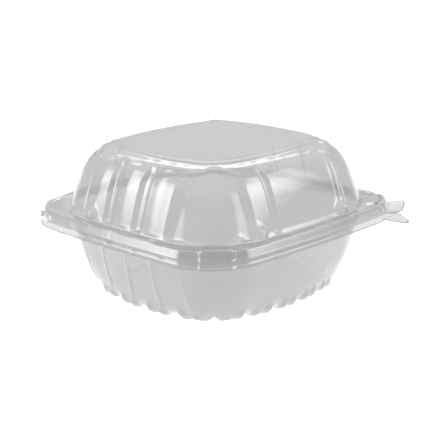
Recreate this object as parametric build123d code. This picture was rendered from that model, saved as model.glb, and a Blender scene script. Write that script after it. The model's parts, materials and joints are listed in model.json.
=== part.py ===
"""A clear hinged-lid food container: a deep tray and a domed lid formed from one plastic sheet.

Millimetres, +Z up. The origin is the middle of the floor pad, on the plane the container rests on.
Front is -Y, where the lid opens; the hinge is at the back, +Y; the finger tabs are at +X -Y.
"""

import os
from math import acos, asin, cos, pi, radians, sin, sqrt

from build123d import *

os.makedirs("parts", exist_ok=True)

# Overall sizes
rim_width = 147.0  # left to right, over the tray's lip
rim_depth = 142.6  # front to back, over the tray's lip, without the hinge
overall_height = 76.0  # table to the top of the lid
rim_height = 42.2  # table to the top of the tray's rim
wall = 0.4  # sheet thickness

# Fits between the tray and the lid
seat_gap = 0.25  # lid flange above tray rim
skirt_gap = 0.3  # lid skirt outside tray skirt
leaf_seam = 0.1  # hinge leaf beside the edge it continues
fold_gap = 0.05  # each hinge leaf's end to the fold line

# Outlines, each a square with bowed sides: (inset from the lip, bow of a side, corner radius)
lip_line = (0.0, 2.1, 28.2)
mouth_line = (10.2, 3.0, 33.0)
waist_line = (13.6, 6.0, 32.0)
foot_line = (16.9, 10.4, 30.0)
panel_line = (27.0, 8.0, 28.0)
pad_line = (52.0, 4.0, 12.0)
top_line = (29.5, 5.1, 16.0)
ledge_line = (25.0, 5.1, 20.0)
brow_line = (20.6, 5.0, 25.0)
shoulder_line = (16.6, 4.6, 28.0)
dome_line = (12.6, 3.6, 31.0)

# Tray levels and steps
waist_height = 18.0
foot_radius = 1.5  # the rounded edge between floor and wall
foot_land = 6.0  # width of the ring the tray stands on
floor_rise = 1.6  # floor panel above the table
floor_slope = 3.0  # width of the slopes on both sides of the panel
bead_slope = 0.9  # how far the tray wall steps out to the rim's top
bead_rise = 2.6  # height of that step
tray_skirt_top = 2.9  # the rim's flat top ends this far inside the lip
tray_skirt_drop = 5.4  # rim top to the bottom of the tray's skirt
tray_lip_drop = 1.0
tray_lip_reach = 1.2

# Lid levels and steps
lid_skirt_drop = 3.0
lid_lip_drop = 0.2
lid_lip_reach = 0.6
lid_lip_inset = 0.6  # the lid's lip inside the tray's
lid_root_rise = 2.0  # flange to the foot of the dome's wall
dome_height = 10.0  # above the flange, like the next three
shoulder_height = 22.0
brow_height = 28.0
ledge_height = 31.0
skirt_end = 26.0  # the lid's skirt stops this far from the back edge

# Flutes on the left and right walls
flute_count = 5
lid_flute_depth = 2.0
tray_flute_depth = 1.6

# Hinge strip
hinge_length = 92.0
hinge_reach = 4.5  # back of the lip to the fold
hinge_room = 4.3  # the tray has no skirt this far in from its back edge, along the hinge

# Corner locks, one at each front corner
rim_flat = 3.2  # the corner is cut this far back at the rim's top,
skirt_flat = 2.4  # at the bottom of the skirt
lip_flat = 4.4  # and at the lip
flat_crown = 0.1  # the cut's own slight bulge
flat_angle = 15  # half the angle of a corner arc's middle stretch where nothing is cut
lock_radius = 3.6
lock_height = 0.9
lock_inset = 5.0  # the rim's cut edge to the middle of a lock

# Finger tabs at the front right corner
tab_width = 22.0
tab_corner = 8.0
tab_length = 13.6  # beyond the tray's lip
tab_root = 1.5  # flat length of a tab outside its lip
lid_tab_lift = 1.9
tray_tab_droop = 4.6

# Worked out
half_width = rim_width / 2
half_depth = rim_depth / 2
flange_height = rim_height + seat_gap + wall  # table to the lid flange's upper face
fold_y = half_depth + hinge_reach
fold_z = rim_height + seat_gap / 2
lid_skirt_top = tray_skirt_top - skirt_gap - wall  # the lid flange's top ends this far inside
BOTTOM = (Align.CENTER, Align.CENTER, Align.MIN)
FRONT_BOTTOM = (Align.CENTER, Align.MIN, Align.MIN)
BACK_BOTTOM = (Align.CENTER, Align.MAX, Align.MIN)


def row(line, height, step=0.0, flute=0.0, flat=0.0):
    """One level of a formed wall: an outline moved outward by step, at a height."""
    inset, bow, corner = line
    return (half_width - inset + step, height, bow, corner + step, flute, flat)


def bowed_square(level):
    """The arcs of a level: side radius, how far its centre lies past the middle, corner centre."""
    half, height, bow, corner, flute, flat = level
    chord = half - bow
    side_radius = (chord**2 + bow**2) / (2 * bow)
    offset = side_radius - half
    centre = (sqrt(2 * (side_radius - corner) ** 2 - offset**2) - offset) / 2
    return side_radius, offset, centre


def squeeze(half):
    """How much narrower an outline is from front to back than from left to right."""
    return (half - half_width + half_depth) / half


def corner_reach(level):
    """From the middle to a front corner, along the diagonal."""
    half, height, bow, corner, flute, flat = level
    centre = bowed_square(level)[2]
    return (sqrt(2) * centre + corner - flat) * (1 + squeeze(half)) / 2


def side_points(level, cells):
    """The side that faces +X, from -Y to +Y: the ends and the middle of each of its cells."""
    side_radius, offset, centre = bowed_square(level)
    swing = asin(centre / (side_radius - level[3]))
    points = []
    for step in range(2 * cells + 1):
        angle = swing * (step / cells - 1)
        between_flutes = step % 2 == 0 and 0 < step < 2 * cells
        radius = side_radius - (level[4] if between_flutes else 0.0)
        points.append((radius * cos(angle) - offset, radius * sin(angle)))
    return points


def corner_points(level, flat):
    """The corner between +X and +Y, inside its two ends: three arcs, the middle one flat if cut."""
    side_radius, offset, centre = bowed_square(level)
    corner = level[3]
    swing = asin(centre / (side_radius - corner))
    half_turn = acos(1 - flat / corner) if flat else radians(flat_angle)
    crown = flat_crown if flat else 0.0
    points = []
    for angle, reach in (
        ((swing + pi / 4 - half_turn) / 2, corner),
        (pi / 4 - half_turn, corner),
        (pi / 4, corner - flat + crown),
        (pi / 4 + half_turn, corner),
        ((3 * pi / 4 + half_turn - swing) / 2, corner),
    ):
        points.append((centre + reach * cos(angle), centre + reach * sin(angle)))
    return points


def section(level, cells):
    """The closed outline at one level. The left and right sides carry the flutes."""
    half, height = level[:2]
    loop = []
    for quarter in range(4):
        angle = quarter * pi / 2
        fluted = quarter % 2 == 0
        at_front = quarter >= 2
        flat = level[5] if at_front else 0.0
        for x, y in side_points(level, cells if fluted else 1) + corner_points(level, flat):
            across = x * cos(angle) - y * sin(angle)
            along = x * sin(angle) + y * cos(angle)
            loop.append(Vector(across, along * squeeze(half), height))
    loop.append(loop[0])
    arcs = [Edge.make_three_point_arc(*loop[i : i + 3]) for i in range(0, len(loop) - 1, 2)]
    return Wire(arcs)


def other_face(levels, thickness):
    """The same levels moved square to the wall by its thickness, to the left of its direction."""
    points = [Vector(level[0], level[1]) for level in levels]
    points.insert(0, points[0] - Vector(1, 0))
    moved = []
    for index, level in enumerate(levels):
        here = points[index + 1]
        before = (here - points[index]).normalized()
        beyond = points[index + 2] - here if index + 2 < len(points) else before
        after = beyond.normalized()
        normal = Vector(-before.Y, before.X)
        mitre = normal + Vector(-after.Y, after.X)
        shift = mitre * (thickness / mitre.dot(normal))
        half, height, bow, corner, flute, flat = level
        moved.append((half + shift.X, height + shift.Y, bow, corner + shift.X, flute, flat))
    return moved


def formed_shell(levels, thickness):
    """A closed thin wall through the levels, from a flat panel in the middle to a free edge."""
    back = other_face(levels, thickness)
    wires = [section(level, flute_count) for level in levels + back[::-1]]
    return Solid.make_loft(wires, ruled=True)


def finger_tab(lip, rise):
    """A tab out of the front right corner: flat past the lip, then up or down to its tip."""
    tab_reach = corner_reach(tray_levels()[-1]) + tab_length
    start = corner_reach(lip) - 2 * wall
    bend = corner_reach(lip) + tab_root
    top = lip[1] + wall
    outline = Polyline(
        (start, top), (bend, top), (tab_reach, top + rise),
        (tab_reach, top + rise - wall), (bend, top - wall), (start, top - wall), close=True,
    )
    slab = extrude(Plane.XZ * make_face(outline), tab_width, both=True)
    plan = Pos(start, 0) * RectangleRounded(2 * (tab_reach - start), tab_width, tab_corner)
    return Rot(0, 0, -45) * (slab & extrude(plan, overall_height))


def corner_disc(radius, bottom, top, side):
    """A round block at a front corner; side is 1 for the right corner and -1 for the left."""
    rim_edge = row(lip_line, rim_height, -tray_skirt_top, flat=rim_flat)
    reach = (corner_reach(rim_edge) - lock_inset) / sqrt(2)
    return Pos(side * reach, -reach, bottom) * Cylinder(radius, top - bottom, align=BOTTOM)


def tray_levels():
    """The tray's lower face, from the floor pad out to the lip."""
    rim_face = rim_height - wall
    skirt_bottom = rim_height - tray_skirt_drop
    return [
        row(pad_line, 0),
        row(pad_line, floor_rise, floor_slope),
        row(panel_line, floor_rise),
        row(foot_line, 0, -foot_radius - foot_land),
        row(foot_line, 0, -foot_radius),
        row(foot_line, foot_radius, 0, tray_flute_depth),
        row(waist_line, waist_height, 0, tray_flute_depth),
        row(mouth_line, rim_face - bead_rise),
        row(mouth_line, rim_face, bead_slope),
        row(lip_line, rim_face, -tray_skirt_top - wall, flat=rim_flat),
        row(lip_line, skirt_bottom, -tray_lip_reach - wall, flat=skirt_flat),
        row(lip_line, skirt_bottom - tray_lip_drop, -wall, flat=lip_flat),
    ]


def lid_levels():
    """The lid's lower face, from the top panel out to the lip."""
    seat = rim_height + seat_gap
    skirt_bottom = seat - lid_skirt_drop
    return [
        row(top_line, overall_height - wall),
        row(ledge_line, seat + ledge_height),
        row(brow_line, seat + brow_height),
        row(shoulder_line, seat + shoulder_height, 0, lid_flute_depth),
        row(dome_line, seat + dome_height, 0, lid_flute_depth),
        row(mouth_line, seat + lid_root_rise),
        row(mouth_line, seat, bead_slope),
        row(lip_line, seat, -lid_skirt_top - wall, flat=rim_flat),
        row(lip_line, skirt_bottom, -lid_lip_inset - lid_lip_reach, flat=skirt_flat),
        row(lip_line, skirt_bottom - lid_lip_drop, -lid_lip_inset, flat=skirt_flat),
    ]


def tray():
    """The tray, with the two lock studs on its rim and the lower finger tab."""
    body = formed_shell(tray_levels(), wall)
    behind = Pos(0, half_depth - hinge_room, 0)
    body -= behind * Box(hinge_length, rim_depth, rim_height - wall, align=FRONT_BOTTOM)
    for side in (-1, 1):
        body += corner_disc(lock_radius, rim_height - wall / 2, rim_height + lock_height, side)
    return body + finger_tab(tray_levels()[-1], -tray_tab_droop)


def lid():
    """The lid, with a hollow cap over each lock stud and the upper finger tab."""
    seat = rim_height + seat_gap
    body = formed_shell(lid_levels(), wall)
    behind = Pos(0, half_depth - skirt_end, 0)
    body -= behind * Box(rim_width * 2, rim_depth, seat, align=FRONT_BOTTOM)
    cap_top = flange_height + lock_height
    for side in (-1, 1):
        body += corner_disc(lock_radius + skirt_gap + wall, seat, cap_top, side)
        body -= corner_disc(lock_radius + skirt_gap, seat - wall, cap_top - wall, side)
    return body + finger_tab(lid_levels()[-1], lid_tab_lift)


def hinge_leaf(bottom, edge_inset):
    """One half of the hinge strip, from the flange's back edge to the fold."""
    strip = Pos(0, fold_y - fold_gap, bottom) * Box(hinge_length, half_depth, wall, align=BACK_BOTTOM)
    edge = section(row(lip_line, bottom - wall, leaf_seam - edge_inset), flute_count)
    return strip - extrude(make_face(edge), 3 * wall, dir=(0, 0, 1))


parts = {
    "tray": tray(),
    "lid": lid(),
    "hinge_tray_leaf": hinge_leaf(rim_height - wall, tray_skirt_top),
    "hinge_lid_leaf": hinge_leaf(rim_height + seat_gap, lid_skirt_top),
}
for name, shape in parts.items():
    box = shape.bounding_box()
    print(name, round(shape.volume, 1), box.min, box.max)
    export_step(shape, f"parts/{name}.step")
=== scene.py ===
# %% [markdown]
# A clear hinged-lid food container
# =================================
# The real object is one sheet of clear plastic, heated and sucked over a mould. The sheet makes a deep
# tray, a domed lid and the strip between them that folds as a hinge. This notebook presses the same
# sheet in Blender: first a plain form, then the flutes and lobes, then the sheet's thickness, then the
# clear finish and a small studio.

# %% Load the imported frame
import json
from math import cos, pi, radians, sin, sqrt

import bpy
import numpy as np
from mathutils import Matrix, Vector


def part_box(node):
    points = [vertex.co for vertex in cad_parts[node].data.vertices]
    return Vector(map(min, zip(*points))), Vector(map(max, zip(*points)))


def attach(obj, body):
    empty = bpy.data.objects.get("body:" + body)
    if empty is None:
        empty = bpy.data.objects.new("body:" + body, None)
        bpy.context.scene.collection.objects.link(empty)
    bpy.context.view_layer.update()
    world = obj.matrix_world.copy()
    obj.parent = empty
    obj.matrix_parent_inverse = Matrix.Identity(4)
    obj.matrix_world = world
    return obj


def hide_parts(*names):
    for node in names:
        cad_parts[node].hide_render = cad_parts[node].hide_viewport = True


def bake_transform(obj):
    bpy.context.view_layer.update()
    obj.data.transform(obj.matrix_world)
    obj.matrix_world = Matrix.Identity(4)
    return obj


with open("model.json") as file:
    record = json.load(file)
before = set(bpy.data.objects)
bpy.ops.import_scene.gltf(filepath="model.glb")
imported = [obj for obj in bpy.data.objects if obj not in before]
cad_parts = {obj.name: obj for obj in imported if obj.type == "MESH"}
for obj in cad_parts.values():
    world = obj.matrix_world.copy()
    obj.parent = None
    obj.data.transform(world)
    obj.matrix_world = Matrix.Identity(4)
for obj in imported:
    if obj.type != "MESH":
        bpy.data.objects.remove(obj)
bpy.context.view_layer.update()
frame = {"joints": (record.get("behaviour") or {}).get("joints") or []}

# %% [markdown]
# Sizes
# -----
# Everything is in metres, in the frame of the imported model. The few driving sizes are read from it, so
# the sheet lies exactly where the tested solids are.

# %% Driving sizes
MM = 0.001
_, lid_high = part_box("lid")
leaf_low, leaf_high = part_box("hinge_tray_leaf")
lid_leaf_low, lid_leaf_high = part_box("hinge_lid_leaf")
fold = Vector(frame["joints"][0]["pos_m"])

half_width = 73.5 * MM
hinge_reach = 4.5 * MM
half_depth = fold.y - hinge_reach
rim_top = leaf_high.z
flange_top = lid_leaf_high.z
lid_top = lid_high.z
SHEET_MM = 0.36
sheet = SHEET_MM * MM
print(f"rim {2000 * half_width:.1f} x {2000 * half_depth:.1f} mm, lid top {1000 * lid_top:.1f} mm")

# %% [markdown]
# The outline
# -----------
# Seen from above, every level of the container is a square with bowed sides and round corners. A side
# is a short stretch of a very large circle, and a corner is a stretch of a small one, so two arcs a
# quarter are enough. All levels share the same columns, which then run straight down the walls.

# %% A bowed square, as points
SIDE_STEPS = 80
CORNER_STEPS = 36
side_share = np.linspace(-1, 1, SIDE_STEPS, endpoint=False)
corner_share = np.linspace(0, 1, CORNER_STEPS, endpoint=False)
COLUMNS = 4 * (SIDE_STEPS + CORNER_STEPS)


def outline(half, bow, corner):
    """The points of one level, round from the front end of the right side."""
    chord = half - bow
    side_radius = (chord**2 + bow**2) / (2 * bow)
    offset = side_radius - half
    centre = (sqrt(2 * (side_radius - corner) ** 2 - offset**2) - offset) / 2
    swing = np.arcsin(centre / (side_radius - corner))
    side_angle = side_share * swing
    corner_angle = swing + corner_share * (pi / 2 - 2 * swing)
    x = np.r_[side_radius * np.cos(side_angle) - offset, centre + corner * np.cos(corner_angle)]
    y = np.r_[side_radius * np.sin(side_angle), centre + corner * np.sin(corner_angle)]
    squeeze = (half - half_width + half_depth) / half
    quarters = []
    for quarter in range(4):
        turned_x = x * cos(quarter * pi / 2) - y * sin(quarter * pi / 2)
        turned_y = x * sin(quarter * pi / 2) + y * cos(quarter * pi / 2)
        quarters.append(np.stack([turned_x, turned_y * squeeze], 1))
    return np.concatenate(quarters)


print(f"{COLUMNS} columns round each level")

# %% [markdown]
# The profile
# -----------
# A profile is a list of stations from the middle of the sheet to its edge. Each station is an outline at
# a height, with the radius that the mould gives the bend there. The bends are short curves between the
# straight walls, so light can run along them as it does on a pressed sheet.

# %% Stations and rounded bends
BEND_STEPS = 4


def station(line, height, step=0.0, bend=1.0, flat=0.0, rows=3):
    """An outline (inset, bow, corner) moved outward by step, at a height, all in millimetres."""
    inset, bow, corner = line
    half = half_width / MM - inset + step
    return np.array([half, height, bow, corner + step, flat]) * MM, bend * MM, rows


def profile(stations):
    """The rows of a sheet: straight stretches between the stations, and a curve at each bend."""
    rows = [stations[0][0]]
    for index in range(1, len(stations) - 1):
        here, bend, steps = stations[index]
        before, after = stations[index - 1][0], stations[index + 1][0]
        reach_in = min(bend, 0.45 * np.linalg.norm((here - before)[:2]))
        reach_out = min(bend, 0.45 * np.linalg.norm((after - here)[:2]))
        start = here + (before - here) * reach_in / np.linalg.norm((here - before)[:2])
        end = here + (after - here) * reach_out / np.linalg.norm((after - here)[:2])
        for step in range(1, steps):
            rows.append(rows[-1] + (start - rows[-1]) / (steps - step + 1))
        for share in np.linspace(0, 1, BEND_STEPS):
            rows.append((1 - share) ** 2 * start + 2 * share * (1 - share) * here + share**2 * end)
    last, _, steps = stations[-1]
    for step in range(steps, 0, -1):
        rows.append(rows[-1] + (last - rows[-1]) / step)
    return np.array(rows)


def pressed_form(stations):
    """The points of a sheet, row by row, and its rows."""
    rows = profile(stations)
    form = np.zeros((len(rows), COLUMNS, 3))
    for index, (half, height, bow, corner, flat) in enumerate(rows):
        form[index, :, :2] = outline(half, bow, corner)
        form[index, :, 2] = height
    return form, rows


# %% [markdown]
# Outlines of this container
# --------------------------
# The rim is nearly square, the foot nearly round. The lists below are the mould drawing: tray from the
# floor out, lid from the top panel out.

# %% The tray's and the lid's stations
lip_line = (0.0, 2.1, 28.2)
mouth_line = (10.2, 3.0, 33.0)
waist_line = (13.6, 6.0, 32.0)
foot_line = (16.9, 10.4, 30.0)
panel_line = (27.0, 8.0, 28.0)
top_line = (29.5, 5.1, 16.0)
ledge_line = (24.6, 5.1, 20.0)
brow_line = (20.3, 5.0, 25.0)
shoulder_line = (16.3, 4.6, 28.0)
dome_line = (12.3, 3.6, 31.0)
collar_line = (9.9, 3.0, 33.0)
centre_line = (62.0, 1.5, 4.0)

rim = rim_top / MM
flange = flange_top / MM
top = lid_top / MM
tray_stations = [
    station(centre_line, 1.6),
    station(panel_line, 1.6, bend=1.2, rows=8),
    station(foot_line, 1.0, -8.5, bend=1.2),
    station(foot_line, 2.6, -2.2, bend=1.5, rows=6),
    station(foot_line, 5.5, 0.4, bend=2.5, rows=6),
    station(waist_line, 18, bend=4.0, rows=9),
    station(mouth_line, rim - 3.0, bend=1.0, rows=10),
    station(mouth_line, rim - SHEET_MM, 0.9, bend=0.5),
    station(lip_line, rim - SHEET_MM, -3.3, bend=0.6, flat=1.0, rows=4),
    station(lip_line, rim - 5.4, -1.6, bend=0.5, flat=0.7, rows=5),
    station(lip_line, rim - 6.4, -0.4, flat=1.4, rows=3),
]
lid_stations = [
    station(centre_line, top),
    station(top_line, top, bend=0.7, rows=6),
    station(top_line, top - 1.3, 1.0, bend=0.6),
    station(ledge_line, top - 2.6, bend=1.4, rows=4),
    station(brow_line, top - 5.5, bend=1.3, rows=4),
    station(shoulder_line, flange + 21.8, bend=5.0, rows=6),
    station(dome_line, flange + 9.8, bend=5.0, rows=9),
    station(collar_line, flange + 1.8, bend=0.9, rows=7),
    station(mouth_line, flange, 1.3, bend=0.5),
    station(lip_line, flange, -5.2, bend=0.4, rows=4),
    station(lip_line, flange + 0.8, -4.2, bend=0.4, flat=0.8),
    station(lip_line, flange + 0.8, -2.6, bend=0.6, flat=1.0),
    station(lip_line, flange - 3.1, -1.0, bend=0.4, flat=0.7, rows=5),
    station(lip_line, flange - 3.3, -0.5, flat=0.7),
]
tray_form, tray_rows = pressed_form(tray_stations)
lid_form, lid_rows = pressed_form(lid_stations)
print(f"tray {len(tray_rows)} rows, lid {len(lid_rows)} rows")

# %% [markdown]
# Corner flats and locks
# ----------------------
# At both front corners the rim is cut back to a flat, with a raised lock in its middle. The flat is made
# by sliding the points back along the diagonal until they meet its plane.


# %% Cut the front corners and raise the locks
def ease(value, start, end):
    """0 at start, 1 at end, smooth between them. Start may be the larger one."""
    share = np.clip((value - start) / (end - start), 0, 1)
    return share * share * (3 - 2 * share)


def diagonal_of(form):
    """How far each point is along its own diagonal, and across it."""
    reach = (abs(form[..., 0]) + abs(form[..., 1])) / sqrt(2)
    across = (abs(form[..., 0]) - abs(form[..., 1])) / sqrt(2)
    return reach, across


def slide(form, distance):
    """Moves points outward along their own diagonal."""
    form[..., 0] += np.sign(form[..., 0]) * distance / sqrt(2)
    form[..., 1] += np.sign(form[..., 1]) * distance / sqrt(2)


def cut_front_corners(form, rows):
    """Slides the front corners back to a flat, as deep as each row says."""
    reach, _ = diagonal_of(form)
    furthest = reach.max(axis=1, keepdims=True)
    beyond = reach - (furthest - rows[:, 4:5])
    rounding = 4.0 * MM
    cut = (beyond + np.sqrt(beyond**2 + rounding**2)) / 2
    wanted = (rows[:, 4:5] > 0) & (form[..., 1] < 0)
    slide(form, np.where(wanted, -np.minimum(cut, rows[:, 4:5] + rounding), 0))


lock_half_width = 7.2 * MM
lock_inner, lock_outer = 75.5 * MM, 81.5 * MM


def raise_locks(form, flat_height, lift, bulge):
    """A raised block in the middle of each front corner, on the flange and down the skirt."""
    reach, across = diagonal_of(form)
    front = form[..., 1] < 0
    middle = ease(abs(across), lock_half_width + 1.7 * MM, lock_half_width - 1.0 * MM) * front
    on_flange = ease(reach, lock_inner - 1 * MM, lock_inner + 0.5 * MM)
    near_rim = ease(form[..., 2], flat_height - 9 * MM, flat_height - 7.5 * MM)
    form[..., 2] += lift * middle * on_flange * ease(form[..., 2], flat_height - 2 * MM, flat_height)
    slide(form, bulge * middle * near_rim * ease(reach, lock_outer - 1.5 * MM, lock_outer))


for form, rows in ((tray_form, tray_rows), (lid_form, lid_rows)):
    cut_front_corners(form, rows)
raise_locks(tray_form, rim_top - sheet, 0.6 * MM, 1.6 * MM)
raise_locks(lid_form, flange_top, 0.9 * MM, 1.8 * MM)
print("cut both front corners and raised a lock on each")

# %% [markdown]
# The open back edge
# ------------------
# The skirts stop before the hinge, where the flanges run out flat to the fold. The same drop that makes
# the skirt is faded away there.


# %% Flatten the skirts along the hinge
rim_begins = 69 * MM


def flatten_skirt(form, level, keep):
    """Where keep is 0 the skirt is lifted to the flange's level."""
    below = np.minimum(form[..., 2] - level, 0)
    outside = diagonal_of(form)[0] > 0
    rim_rows = np.maximum(abs(form[..., 0]), abs(form[..., 1]) + half_width - half_depth) > rim_begins
    form[..., 2] -= below * (1 - keep) * outside * rim_rows


lid_skirt_gap = 26 * MM
lid_skirt_end = half_depth - lid_skirt_gap
hinge_half_length = -leaf_low.x
lid_keep = ease(lid_form[..., 1], lid_skirt_end + 3 * MM, lid_skirt_end)
tray_behind = tray_form[..., 1] > half_depth - 6 * MM
hinge_share = ease(abs(tray_form[..., 0]), hinge_half_length - 1 * MM, hinge_half_length + 1.5 * MM)
flatten_skirt(lid_form, flange_top, lid_keep)
flatten_skirt(tray_form, rim_top - sheet, np.where(tray_behind, hinge_share, 1))
print("skirts end before the hinge")

# %% [markdown]
# Lugs
# ----
# Small round lugs keep stacked containers from jamming: a soft one at each corner of the top panel, and
# firmer ones along the foot of the dome. They belong to the sheet, so they are swellings of it: each
# point moves by a share that falls off with its distance from the lug's middle.


# %% Swell the lugs
def swell(form, middle, radius, move, firmness):
    """Moves the points round a middle by a share of move."""
    distance = np.linalg.norm(form - np.array(middle), axis=-1) / radius
    form += np.exp(-(distance**firmness))[..., None] * np.array(move)


panel_corner = 37.6 * MM
wall_inset = 10.6 * MM
wall_x = half_width - wall_inset
wall_y = half_depth - wall_inset
lug_height = flange_top + 2.6 * MM
for side_x in (-1, 1):
    swell(lid_form, (side_x * wall_x, 22 * MM, lug_height), 3.1 * MM, (side_x * 2.4 * MM, 0, 0.9 * MM), 4)
    for side_y in (-1, 1):
        middle = (side_x * panel_corner, side_y * panel_corner, lid_top - 1.5 * MM)
        swell(lid_form, middle, 4.2 * MM, (side_x * 0.8 * MM, side_y * 0.8 * MM, 0.5 * MM), 3)
for place in (-44, -32, 25):
    for side_y in (-1, 1):
        middle = (place * MM, side_y * wall_y, lug_height)
        swell(lid_form, middle, 3.1 * MM, (0, side_y * 2.4 * MM, 0.9 * MM), 4)
print("swelled 4 soft and 8 firm lugs")

# %% [markdown]
# Finger tabs
# -----------
# At the front right corner the sheet's edge runs out into a tab, one on the lid and one on the tray. A
# tab is a few more rows of the same sheet: everywhere else they stay on the edge.

# %% Grow the tabs out of the edge
tab_half_width = 11.6 * MM
tab_reach = 99.2 * MM
TAB_ROWS = 10


def grow_tab(form, root_drop, tip_rise, lean):
    """Adds rows beyond the edge that run out to the tip at the front right corner."""
    edge = form[-1]
    _, across = diagonal_of(edge)
    at_corner = (edge[:, 0] > 0) & (edge[:, 1] < 0) & (abs(across) < tab_half_width)
    width_share = np.clip(abs(across) / tab_half_width, 0, 1)
    tip = np.where(at_corner, (1 - width_share**5) ** (1 / 2.4), 0)
    reach = (abs(edge[:, 0]) + abs(edge[:, 1])) / sqrt(2)
    tip_line = tab_reach - abs(lean) + lean * across / tab_half_width
    rows = []
    for share in np.linspace(0, 1, TAB_ROWS + 1)[1:]:
        row = edge.copy()
        run = np.maximum(tip_line - reach, 0) * tip * share
        slide(row, run + 0.15 * MM * share)
        travel = run / (tab_reach - reach.max())
        row[:, 2] += (tip_rise * travel - root_drop * ease(travel, 0, 0.3)) * at_corner
        rows.append(row)
    return np.concatenate([form, np.array(rows)])


lid_form = grow_tab(lid_form, 1.2 * MM, 1.9 * MM, 3.0 * MM)
tray_form = grow_tab(tray_form, 0.4 * MM, -1.9 * MM, -2.6 * MM)
print(f"tabs reach {1000 * tab_reach:.1f} mm from the middle")

# %% [markdown]
# The foot
# --------
# The container stands on pairs of small lobes, pressed later. Only the round corners of the foot come
# down to the table by themselves, so here they are lowered.


# %% Lower the corners of the foot
def side_masks(form):
    """Where a point faces left or right, and where it faces front or back."""
    steep_x = abs(form[..., 0]) / half_width
    steep_y = (abs(form[..., 1]) + half_width - half_depth) / half_width
    sideways = ease(steep_x - steep_y, 0.0, 0.06)
    endways = ease(steep_y - steep_x, 0.0, 0.06)
    return sideways, endways


tray_sideways, tray_endways = side_masks(tray_form)
foot_ring = np.append(ease(tray_rows[:, 0], 47 * MM, 52 * MM), np.zeros(TAB_ROWS))[:, None]
foot_ring = foot_ring * ease(tray_form[..., 2], 8 * MM, 3 * MM)
side_ends = ease(abs(tray_form[..., 1]), 32 * MM, 38 * MM)
front_ends = ease(abs(tray_form[..., 0]), 32 * MM, 38 * MM)
corner_drop = 2.0 * MM
foot_corners = np.maximum(tray_sideways * side_ends, tray_endways * front_ends)
tray_form[..., 2] -= corner_drop * foot_ring * foot_corners
tray_form[..., 2] = np.maximum(tray_form[..., 2], 0)
print("foot corners lowered")

# %% [markdown]
# From points to a sheet
# ----------------------
# The rows become a mesh of four-sided faces, closed in the middle by a ring of triangles. Two attributes
# travel with it: how far along its own side a point is, and masks that say where a pattern may press.


# %% Make a mesh from rows
def sheet_mesh(name, form, upward):
    """A mesh through the rows, whose faces look up and out, or down and out."""
    count = len(form)
    points = np.concatenate([form.reshape(-1, 3), [[0, 0, form[0, 0, 2]]]])
    faces = []
    for row in range(count - 1):
        for column in range(COLUMNS):
            beside = (column + 1) % COLUMNS
            start = row * COLUMNS
            face = [start + column, start + COLUMNS + column, start + COLUMNS + beside, start + beside]
            faces.append(face if upward else face[::-1])
    pole = len(points) - 1
    for column in range(COLUMNS):
        face = [pole, column, (column + 1) % COLUMNS]
        faces.append(face if upward else face[::-1])
    mesh = bpy.data.meshes.new(name)
    mesh.from_pydata(points.tolist(), [], faces)
    mesh.shade_smooth()
    piece = bpy.data.objects.new(name, mesh)
    bpy.context.scene.collection.objects.link(piece)
    return piece


def add_values(piece, name, values):
    """Stores one number a point; the pole gets 0."""
    attribute = piece.data.attributes.new(name, "FLOAT", "POINT")
    attribute.data.foreach_set("value", np.append(values.ravel(), 0).astype(np.float32))


lid = sheet_mesh("lid_sheet", lid_form, True)
tray = sheet_mesh("tray_sheet", tray_form, False)
print("lid", len(lid.data.polygons), "faces, tray", len(tray.data.polygons), "faces")

# %% [markdown]
# Masks
# -----
# The lid's flutes live between the collar and the brow; the tray's between the foot and the rim; the
# lobes only on the foot's edge. Each mask is a smooth number from 0 to 1.

# %% Store the masks
lid_sideways, lid_endways = side_masks(lid_form)
lid_z = lid_form[..., 2]
tray_z = tray_form[..., 2]
dome = ease(lid_z, flange_top + 0.3 * MM, flange_top + 1.8 * MM)
dome = dome * ease(lid_z, lid_top - 3.2 * MM, lid_top - 5.6 * MM)
corner_limit = 140 * MM
dome = dome * (abs(lid_form[..., 0]) + abs(lid_form[..., 1]) < corner_limit)
ledge = ease(lid_z, lid_top - 1.6 * MM, lid_top - 2.4 * MM)
ledge = ledge * ease(lid_z, lid_top - 5.4 * MM, lid_top - 4.4 * MM)
tray_wall = ease(tray_z, 4 * MM, 9 * MM) * ease(tray_z, rim_top - 3 * MM, rim_top - 9 * MM)

add_values(lid, "along_sides", lid_form[..., 1])
add_values(lid, "from_left", lid_form[..., 0] + 100 * MM)
lid_reach = np.maximum(abs(lid_form[..., 0]), abs(lid_form[..., 1]) + half_width - half_depth)
slant = 1.6 * (lid_reach - lid_top / 2)
add_values(lid, "slanted", np.where(lid_sideways > 0.5, lid_form[..., 1], lid_form[..., 0]) + slant)
add_values(lid, "ledge", ledge * np.maximum(lid_sideways, lid_endways))
side_place = abs(lid_form[..., 1])
add_values(lid, "pads", dome * lid_sideways * ease(side_place, 27 * MM, 24 * MM))
add_values(lid, "crowns", dome * lid_sideways * ease(side_place, 31 * MM, 28 * MM))
add_values(lid, "shoulders", dome * lid_sideways * ease(side_place, 52 * MM, 33 * MM))
add_values(lid, "end_ribs", dome * lid_endways * ease(abs(lid_form[..., 0]), 50 * MM, 36 * MM))
add_values(tray, "along_sides", tray_form[..., 1])
add_values(tray, "flutes", tray_wall * tray_sideways * ease(abs(tray_form[..., 1]), 56 * MM, 50 * MM))
on_right = tray_form[..., 0] > 0
right_middle = ease(abs(tray_form[..., 1]), 50 * MM, 40 * MM)
add_values(tray, "right_wall", tray_wall * tray_sideways * on_right * right_middle)
add_values(tray, "beside_pairs", tray_form[..., 1] - 5.1 * MM)
add_values(tray, "before_pairs", tray_form[..., 0] + 4.7 * MM)
add_values(tray, "side_lobes", foot_ring * tray_sideways * (1 - side_ends))
add_values(tray, "end_lobes", foot_ring * tray_endways * (1 - front_ends))
print("stored the masks of nine patterns")

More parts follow.
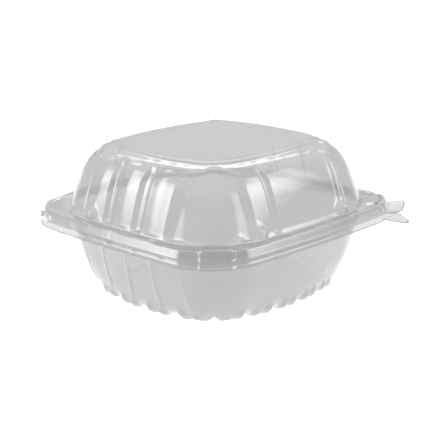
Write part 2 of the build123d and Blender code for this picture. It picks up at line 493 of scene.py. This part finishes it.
# %% [markdown]
# Pressing lines with Geometry Nodes
# ----------------------------------
# Flutes, ribs and lobes follow one rule: lines at an even pitch, pushed in or out along the sheet's own
# normal. One node tree does them all. Ping-pong turns the distance along a side into the distance from
# the nearest cell's middle; the bell curve round the line's place gives the pressed shape.


# %% Build the tree that presses lines
def pressing_tree():
    """The node tree that presses lines along an attribute."""
    tree = bpy.data.node_groups.new("Press lines", "GeometryNodeTree")
    tree.interface.new_socket("Geometry", in_out="INPUT", socket_type="NodeSocketGeometry")
    for text in ("Along", "Mask"):
        tree.interface.new_socket(text, in_out="INPUT", socket_type="NodeSocketString")
    for number in ("Pitch", "Line Place", "Line Width", "Sharpness", "Depth"):
        tree.interface.new_socket(number, in_out="INPUT", socket_type="NodeSocketFloat")
    tree.interface.new_socket("Material", in_out="INPUT", socket_type="NodeSocketMaterial")
    tree.interface.new_socket("Geometry", in_out="OUTPUT", socket_type="NodeSocketGeometry")
    nodes, links = tree.nodes, tree.links
    given = nodes.new("NodeGroupInput")
    result = nodes.new("NodeGroupOutput")

    def named(socket):
        node = nodes.new("GeometryNodeInputNamedAttribute")
        node.data_type = "FLOAT"
        links.new(given.outputs[socket], node.inputs["Name"])
        return node.outputs["Attribute"]

    def math(operation, first, second=None):
        node = nodes.new("ShaderNodeMath")
        node.operation = operation
        for socket, value in zip(node.inputs, (first, second)):
            if isinstance(value, (int, float)):
                socket.default_value = value
            elif value is not None:
                links.new(value, socket)
        return node.outputs["Value"]

    half_pitch = math("MULTIPLY", given.outputs["Pitch"], 0.5)
    from_cell = math("PINGPONG", named("Along"), half_pitch)
    from_line = math("SUBTRACT", from_cell, given.outputs["Line Place"])
    scaled = math("ABSOLUTE", math("DIVIDE", from_line, given.outputs["Line Width"]))
    bell = math("EXPONENT", math("MULTIPLY", math("POWER", scaled, given.outputs["Sharpness"]), -1))
    pressed = math("MULTIPLY", math("MULTIPLY", bell, named("Mask")), given.outputs["Depth"])
    push = nodes.new("ShaderNodeVectorMath")
    push.operation = "SCALE"
    links.new(nodes.new("GeometryNodeInputNormal").outputs["Normal"], push.inputs[0])
    links.new(pressed, push.inputs["Scale"])
    move = nodes.new("GeometryNodeSetPosition")
    links.new(given.outputs["Geometry"], move.inputs["Geometry"])
    links.new(push.outputs["Vector"], move.inputs["Offset"])
    realize = nodes.new("GeometryNodeRealizeInstances")
    links.new(move.outputs["Geometry"], realize.inputs["Geometry"])
    finish = nodes.new("GeometryNodeSetMaterial")
    links.new(realize.outputs["Geometry"], finish.inputs["Geometry"])
    links.new(given.outputs["Material"], finish.inputs["Material"])
    links.new(finish.outputs["Geometry"], result.inputs["Geometry"])
    return tree


PRESS = pressing_tree()
print(len(PRESS.nodes), "nodes press every line on the sheet")


# %% [markdown]
# Using the tree
# --------------
# Each pattern is one modifier with its own numbers. Afterwards the evaluated mesh is kept and the
# modifiers go, so what is left is a plain mesh. Solidify then gives the sheet its thickness, inward.


# %% Helpers for modifiers
def set_inputs(modifier, values):
    """Sets a node modifier's inputs by name, through their socket identifiers."""
    for item in modifier.node_group.interface.items_tree:
        if item.item_type == "SOCKET" and item.in_out == "INPUT" and item.name in values:
            modifier[item.identifier] = values[item.name]


def press(piece, along, mask, pitch, place, width, sharpness, depth, material):
    """Presses lines where the mask is 1; pitch, place, width and depth are in millimetres."""
    modifier = piece.modifiers.new(mask, "NODES")
    modifier.node_group = PRESS
    sizes = {"Pitch": pitch * MM, "Line Place": place * MM, "Line Width": width * MM, "Depth": depth * MM}
    words = {"Along": along, "Mask": mask, "Sharpness": float(sharpness), "Material": material}
    set_inputs(modifier, sizes | words)


def thicken(piece, thickness):
    """Gives the sheet its thickness, inward."""
    modifier = piece.modifiers.new("thickness", "SOLIDIFY")
    modifier.thickness = thickness
    modifier.offset = -1
    modifier.use_rim = True
    modifier.thickness_clamp = 0


def keep_result(piece):
    """Replaces a piece's mesh by what its modifiers make of it, and removes them."""
    evaluated = piece.evaluated_get(bpy.context.evaluated_depsgraph_get())
    mesh = bpy.data.meshes.new_from_object(evaluated)
    piece.modifiers.clear()
    piece.data = mesh
    mesh.name = piece.name
    return piece


# %% [markdown]
# The clear finish
# ----------------
# The sheet is clear plastic: smooth, a little grey in a thick stack, with faint waves where it was
# stretched and a fine haze of scuffs. The waves are a low bump and the haze is a change of roughness.

# %% The clear sheet's material
sheet_ior = 1.57


def waviness_group():
    """Scuffs and stretch waves, as a roughness and a height."""
    group = bpy.data.node_groups.new("Stretch and scuffs", "ShaderNodeTree")
    for name, value in (("Wave Scale", 60.0), ("Scuff Scale", 900.0), ("Smooth", 0.02), ("Scuffed", 0.12)):
        socket = group.interface.new_socket(name, in_out="INPUT", socket_type="NodeSocketFloat")
        socket.default_value = value
    for name in ("Roughness", "Height"):
        group.interface.new_socket(name, in_out="OUTPUT", socket_type="NodeSocketFloat")
    nodes, links = group.nodes, group.links
    given = nodes.new("NodeGroupInput")
    result = nodes.new("NodeGroupOutput")
    place = nodes.new("ShaderNodeTexCoord")

    stretch = nodes.new("ShaderNodeMapping")
    stretch.inputs["Scale"].default_value = (1, 1, 0.22)
    links.new(place.outputs["Object"], stretch.inputs["Vector"])

    def noise(scale, detail):
        node = nodes.new("ShaderNodeTexNoise")
        node.inputs["Detail"].default_value = detail
        links.new(stretch.outputs["Vector"], node.inputs["Vector"])
        links.new(given.outputs[scale], node.inputs["Scale"])
        return node.outputs["Fac"]

    waves = noise("Wave Scale", 2.0)
    scuffs = noise("Scuff Scale", 4.0)
    pick = nodes.new("ShaderNodeMapRange")
    pick.inputs["From Min"].default_value = 0.55
    pick.inputs["From Max"].default_value = 0.8
    links.new(scuffs, pick.inputs["Value"])
    links.new(given.outputs["Smooth"], pick.inputs["To Min"])
    links.new(given.outputs["Scuffed"], pick.inputs["To Max"])
    links.new(pick.outputs["Result"], result.inputs["Roughness"])
    links.new(waves, result.inputs["Height"])
    return group


STRETCH = waviness_group()


def clear_material(name, tint, haze, wave, shade):
    """Clear plastic: haze is its milky share, wave the height of its waves, shade its light shadow."""
    material = bpy.data.materials.new(name)
    material.use_nodes = True
    nodes, links = material.node_tree.nodes, material.node_tree.links
    shader = nodes["Principled BSDF"]
    shader.inputs["Base Color"].default_value = (*tint, 1)
    shader.inputs["Transmission Weight"].default_value = 1 - haze
    shader.inputs["IOR"].default_value = sheet_ior
    let_through = nodes.new("ShaderNodeBsdfTransparent")
    let_through.inputs["Color"].default_value = (shade, shade, shade, 1)
    ray = nodes.new("ShaderNodeLightPath")
    indirect = nodes.new("ShaderNodeMath")
    indirect.operation = "MAXIMUM"
    links.new(ray.outputs["Is Shadow Ray"], indirect.inputs[0])
    links.new(ray.outputs["Is Diffuse Ray"], indirect.inputs[1])
    mix = nodes.new("ShaderNodeMixShader")
    links.new(indirect.outputs["Value"], mix.inputs["Fac"])
    links.new(shader.outputs["BSDF"], mix.inputs[1])
    links.new(let_through.outputs["BSDF"], mix.inputs[2])
    links.new(mix.outputs["Shader"], nodes["Material Output"].inputs["Surface"])
    effect = nodes.new("ShaderNodeGroup")
    effect.node_tree = STRETCH
    links.new(effect.outputs["Roughness"], shader.inputs["Roughness"])
    bump = nodes.new("ShaderNodeBump")
    bump.inputs["Strength"].default_value = wave
    bump.inputs["Distance"].default_value = 0.5 * MM
    links.new(effect.outputs["Height"], bump.inputs["Height"])
    links.new(bump.outputs["Normal"], shader.inputs["Normal"])
    return material


clear_sheet = clear_material("clear_sheet", (0.59, 0.593, 0.596), 0.12, 0.25, 0.99)
hinge_sheet = clear_material("hinge_sheet", (0.64, 0.643, 0.646), 0.2, 0.35, 0.98)
print("materials:", clear_sheet.name, hinge_sheet.name)

# %% [markdown]
# Press the sheets
# ----------------
# Three wide flutes on the left and right of the dome, a broad panel between ribs on its front and back,
# thin ribs on the tray's sides, and pairs of lobes all round the foot.

# %% Press, thicken and keep
press(lid, "along_sides", "pads", 21.0, 10.5, 2.8, 8, -1.7, clear_sheet)
press(lid, "along_sides", "crowns", 21.0, 0.0, 5.0, 2, 0.6, clear_sheet)
press(lid, "along_sides", "shoulders", 400.0, 42.6, 12.4, 12, -1.7, clear_sheet)
press(lid, "from_left", "end_ribs", 400.0, 59.5, 6.2, 12, -1.7, clear_sheet)
press(lid, "from_left", "end_ribs", 400.0, 79.4, 1.5, 4, -1.5, clear_sheet)
press(lid, "from_left", "end_ribs", 400.0, 127.5, 2.4, 4, 1.2, clear_sheet)
press(lid, "slanted", "ledge", 21.0, 6.0, 2.4, 2, 0.15, clear_sheet)
press(tray, "along_sides", "flutes", 17.6, 0.0, 1.0, 2, 0.6, clear_sheet)
press(tray, "along_sides", "right_wall", 6.2, 0.0, 1.2, 2, 0.4, clear_sheet)
press(tray, "beside_pairs", "side_lobes", 18.5, 3.2, 2.4, 3, 2.0, clear_sheet)
press(tray, "before_pairs", "end_lobes", 15.9, 3.0, 2.2, 3, 2.0, clear_sheet)
for piece in (lid, tray):
    thicken(piece, sheet)
    keep_result(piece)
    triangles = sum(len(face.vertices) - 2 for face in piece.data.polygons)
    print(piece.name, triangles, "triangles")

# %% [markdown]
# The hinge strip
# ---------------
# The strip is flat sheet from the tray's edge to the fold and back to the lid's edge, in one piece.


# %% Fold the hinge strip
HINGE_COLUMNS = 140
HINGE_BEND_ROWS = 13
hinge_taper = 0.36
hinge_thickness = 0.3 * MM


def back_edge(form, places):
    """Where the back edge lies, at these places from left to right."""
    edge = form[-1]
    behind = edge[:, 1] > half_depth - 12 * MM
    order = np.argsort(edge[behind, 0])
    return np.interp(places, edge[behind, 0][order], edge[behind, 1][order])


def hinge_strip():
    """The folded strip, from the tray's edge round the fold to the lid's edge."""
    places = np.linspace(-hinge_half_length, hinge_half_length, HINGE_COLUMNS)
    bend_radius = (lid_leaf_low.z + lid_leaf_high.z - leaf_low.z - leaf_high.z) / 4
    fold_start = fold.y - 0.2 * MM
    lower, upper = fold.z - bend_radius, fold.z + bend_radius
    tray_edge, lid_edge = back_edge(tray_form, places), back_edge(lid_form, places)

    def level_row(y, height):
        return np.stack([places, y, np.full_like(places, height)], 1)

    rows = [level_row(y, lower) for y in (tray_edge, (tray_edge + fold_start) / 2)]
    for angle in np.linspace(-pi / 2, pi / 2, HINGE_BEND_ROWS):
        y = np.full_like(places, fold_start + bend_radius * cos(angle))
        rows.append(level_row(y, fold.z + bend_radius * sin(angle)))
    rows += [level_row(y, upper) for y in ((lid_edge + fold_start) / 2, lid_edge)]
    points = np.array(rows)
    taper = 1 - hinge_taper * ease(points[:, :1, 1], half_depth - 1 * MM, fold.y - 0.5 * MM)
    points[:, :, 0] *= taper
    width = len(places)
    faces = []
    for row in range(len(rows) - 1):
        for column in range(width - 1):
            start = row * width + column
            faces.append([start, start + 1, start + width + 1, start + width])
    mesh = bpy.data.meshes.new("hinge_strip")
    mesh.from_pydata(points.reshape(-1, 3).tolist(), [], faces)
    mesh.shade_smooth()
    piece = bpy.data.objects.new("hinge_strip", mesh)
    bpy.context.scene.collection.objects.link(piece)
    thicken(piece, hinge_thickness)
    piece.modifiers["thickness"].offset = 0
    piece.data.materials.append(hinge_sheet)
    return keep_result(piece)


hinge = hinge_strip()
print(hinge.name, len(hinge.data.polygons), "faces")

# %% [markdown]
# What moves with what
# --------------------
# The lid's sheet follows the lid and the tray's sheet follows the tray. The strip stays where it was
# folded.

# %% Ride and replace
for piece, body in ((lid, "lid"), (tray, "tray")):
    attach(piece, body)
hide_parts("lid")
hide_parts("tray")
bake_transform(hinge)
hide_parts("hinge_tray_leaf", "hinge_lid_leaf")

# %% [markdown]
# The studio
# ----------
# A pale floor, a soft sky that is brighter overhead, and three soft boxes that draw the long white
# lines down the flutes, across the front panel and along the edge of the top.

# %% Floor and light
floor_half = 6.0
mesh = bpy.data.meshes.new("floor")
corners = [(x * floor_half, y * floor_half, 0) for x, y in ((-1, -1), (1, -1), (1, 1), (-1, 1))]
mesh.from_pydata(corners, [], [(0, 1, 2, 3)])
floor = bpy.data.objects.new("floor", mesh)
bpy.context.scene.collection.objects.link(floor)
pale = bpy.data.materials.new("pale_floor")
pale.use_nodes = True
pale.node_tree.nodes["Principled BSDF"].inputs["Base Color"].default_value = (0.9, 0.9, 0.9, 1)
pale.node_tree.nodes["Principled BSDF"].inputs["Roughness"].default_value = 0.9
floor.data.materials.append(pale)

world = bpy.data.worlds.new("soft sky")
bpy.context.scene.world = world
world.use_nodes = True
sky = world.node_tree.nodes["Background"]
sky.inputs["Color"].default_value = (1, 1, 1, 1)
where = world.node_tree.nodes.new("ShaderNodeTexCoord")
split = world.node_tree.nodes.new("ShaderNodeSeparateXYZ")
ramp = world.node_tree.nodes.new("ShaderNodeMapRange")
ramp.inputs["From Min"].default_value = 0.35
ramp.inputs["From Max"].default_value = 0.95
ramp.inputs["To Min"].default_value = 0.75
ramp.inputs["To Max"].default_value = 1.6
world.node_tree.links.new(where.outputs["Generated"], split.inputs["Vector"])
world.node_tree.links.new(split.outputs["Z"], ramp.inputs["Value"])
world.node_tree.links.new(ramp.outputs["Result"], sky.inputs["Strength"])


FADE_TO_ONE = 16  # x (1 - x) y (1 - y) is a sixteenth in the middle


def soft_edges(data):
    """Fades a lamp's face from its middle to its edges, as a real diffuser does."""
    data.use_nodes = True
    nodes, links = data.node_tree.nodes, data.node_tree.links
    face = nodes.new("ShaderNodeNewGeometry")
    split = nodes.new("ShaderNodeSeparateXYZ")
    links.new(face.outputs["Parametric"], split.inputs["Vector"])
    fade = None
    for axis in ("X", "Y"):
        flipped = nodes.new("ShaderNodeMath")
        flipped.operation = "SUBTRACT"
        flipped.inputs[0].default_value = 1
        links.new(split.outputs[axis], flipped.inputs[1])
        bump = nodes.new("ShaderNodeMath")
        bump.operation = "MULTIPLY"
        links.new(split.outputs[axis], bump.inputs[0])
        links.new(flipped.outputs["Value"], bump.inputs[1])
        if fade is None:
            fade = bump
            continue
        product = nodes.new("ShaderNodeMath")
        product.operation = "MULTIPLY"
        links.new(fade.outputs["Value"], product.inputs[0])
        links.new(bump.outputs["Value"], product.inputs[1])
        fade = product
    strength = nodes.new("ShaderNodeMath")
    strength.operation = "MULTIPLY"
    strength.inputs[1].default_value = FADE_TO_ONE
    links.new(fade.outputs["Value"], strength.inputs[0])
    links.new(strength.outputs["Value"], nodes["Emission"].inputs["Strength"])


def soft_box(name, azimuth, elevation, distance, width, height, power):
    """An area light that looks at the middle of the container."""
    data = bpy.data.lights.new(name, "AREA")
    data.shape = "RECTANGLE"
    data.size, data.size_y = width, height
    data.energy = power
    soft_edges(data)
    lamp = bpy.data.objects.new(name, data)
    bpy.context.scene.collection.objects.link(lamp)
    a, e = radians(azimuth), radians(elevation)
    direction = Vector((sin(a) * cos(e), -cos(a) * cos(e), sin(e)))
    target = Vector((0, 0, 0.04))
    lamp.location = target + direction * distance
    lamp.rotation_euler = direction.to_track_quat("Z", "Y").to_euler()
    return lamp


soft_box("left box", -126, 24, 1.2, 0.75, 0.8, 12)
soft_box("front box", 36, 27, 1.2, 0.85, 0.7, 9)
soft_box("back box", 135, 44, 1.2, 1.3, 0.3, 4.5)
print("floor, sky and three soft boxes")

# %% [markdown]
# The camera
# ----------
# A long lens a little above the rim, looking at the corner between the fluted left side and the smooth
# front.

# %% Camera
LIGHT_BOUNCES = 32  # a ray crosses many sheets before it leaves
camera_azimuth = radians(-44.98)
camera_elevation = radians(15.68)
camera_distance = 0.56
camera_roll = radians(0.776)
camera_target = Vector((0, 0, 0.038))

back = Vector(
    (
        sin(camera_azimuth) * cos(camera_elevation),
        -cos(camera_azimuth) * cos(camera_elevation),
        sin(camera_elevation),
    )
)
right = Vector((cos(camera_azimuth), sin(camera_azimuth), 0))
above = back.cross(right)
rolled_right = right * cos(camera_roll) - above * sin(camera_roll)
rolled_above = right * sin(camera_roll) + above * cos(camera_roll)
camera_data = bpy.data.cameras.new("camera")
camera_data.lens = 87.7
camera_data.sensor_width = 36
camera_data.shift_x = 0.0176
camera_data.shift_y = -0.0276
camera = bpy.data.objects.new("camera", camera_data)
bpy.context.scene.collection.objects.link(camera)
turn = Matrix((rolled_right, rolled_above, back)).transposed().to_4x4()
camera.matrix_world = Matrix.Translation(camera_target + back * camera_distance) @ turn
bpy.context.scene.camera = camera
bpy.context.scene.view_settings.view_transform = "Standard"
bpy.context.scene.cycles.max_bounces = LIGHT_BOUNCES
bpy.context.scene.cycles.transmission_bounces = LIGHT_BOUNCES
bpy.context.scene.cycles.transparent_max_bounces = LIGHT_BOUNCES
print("camera set")
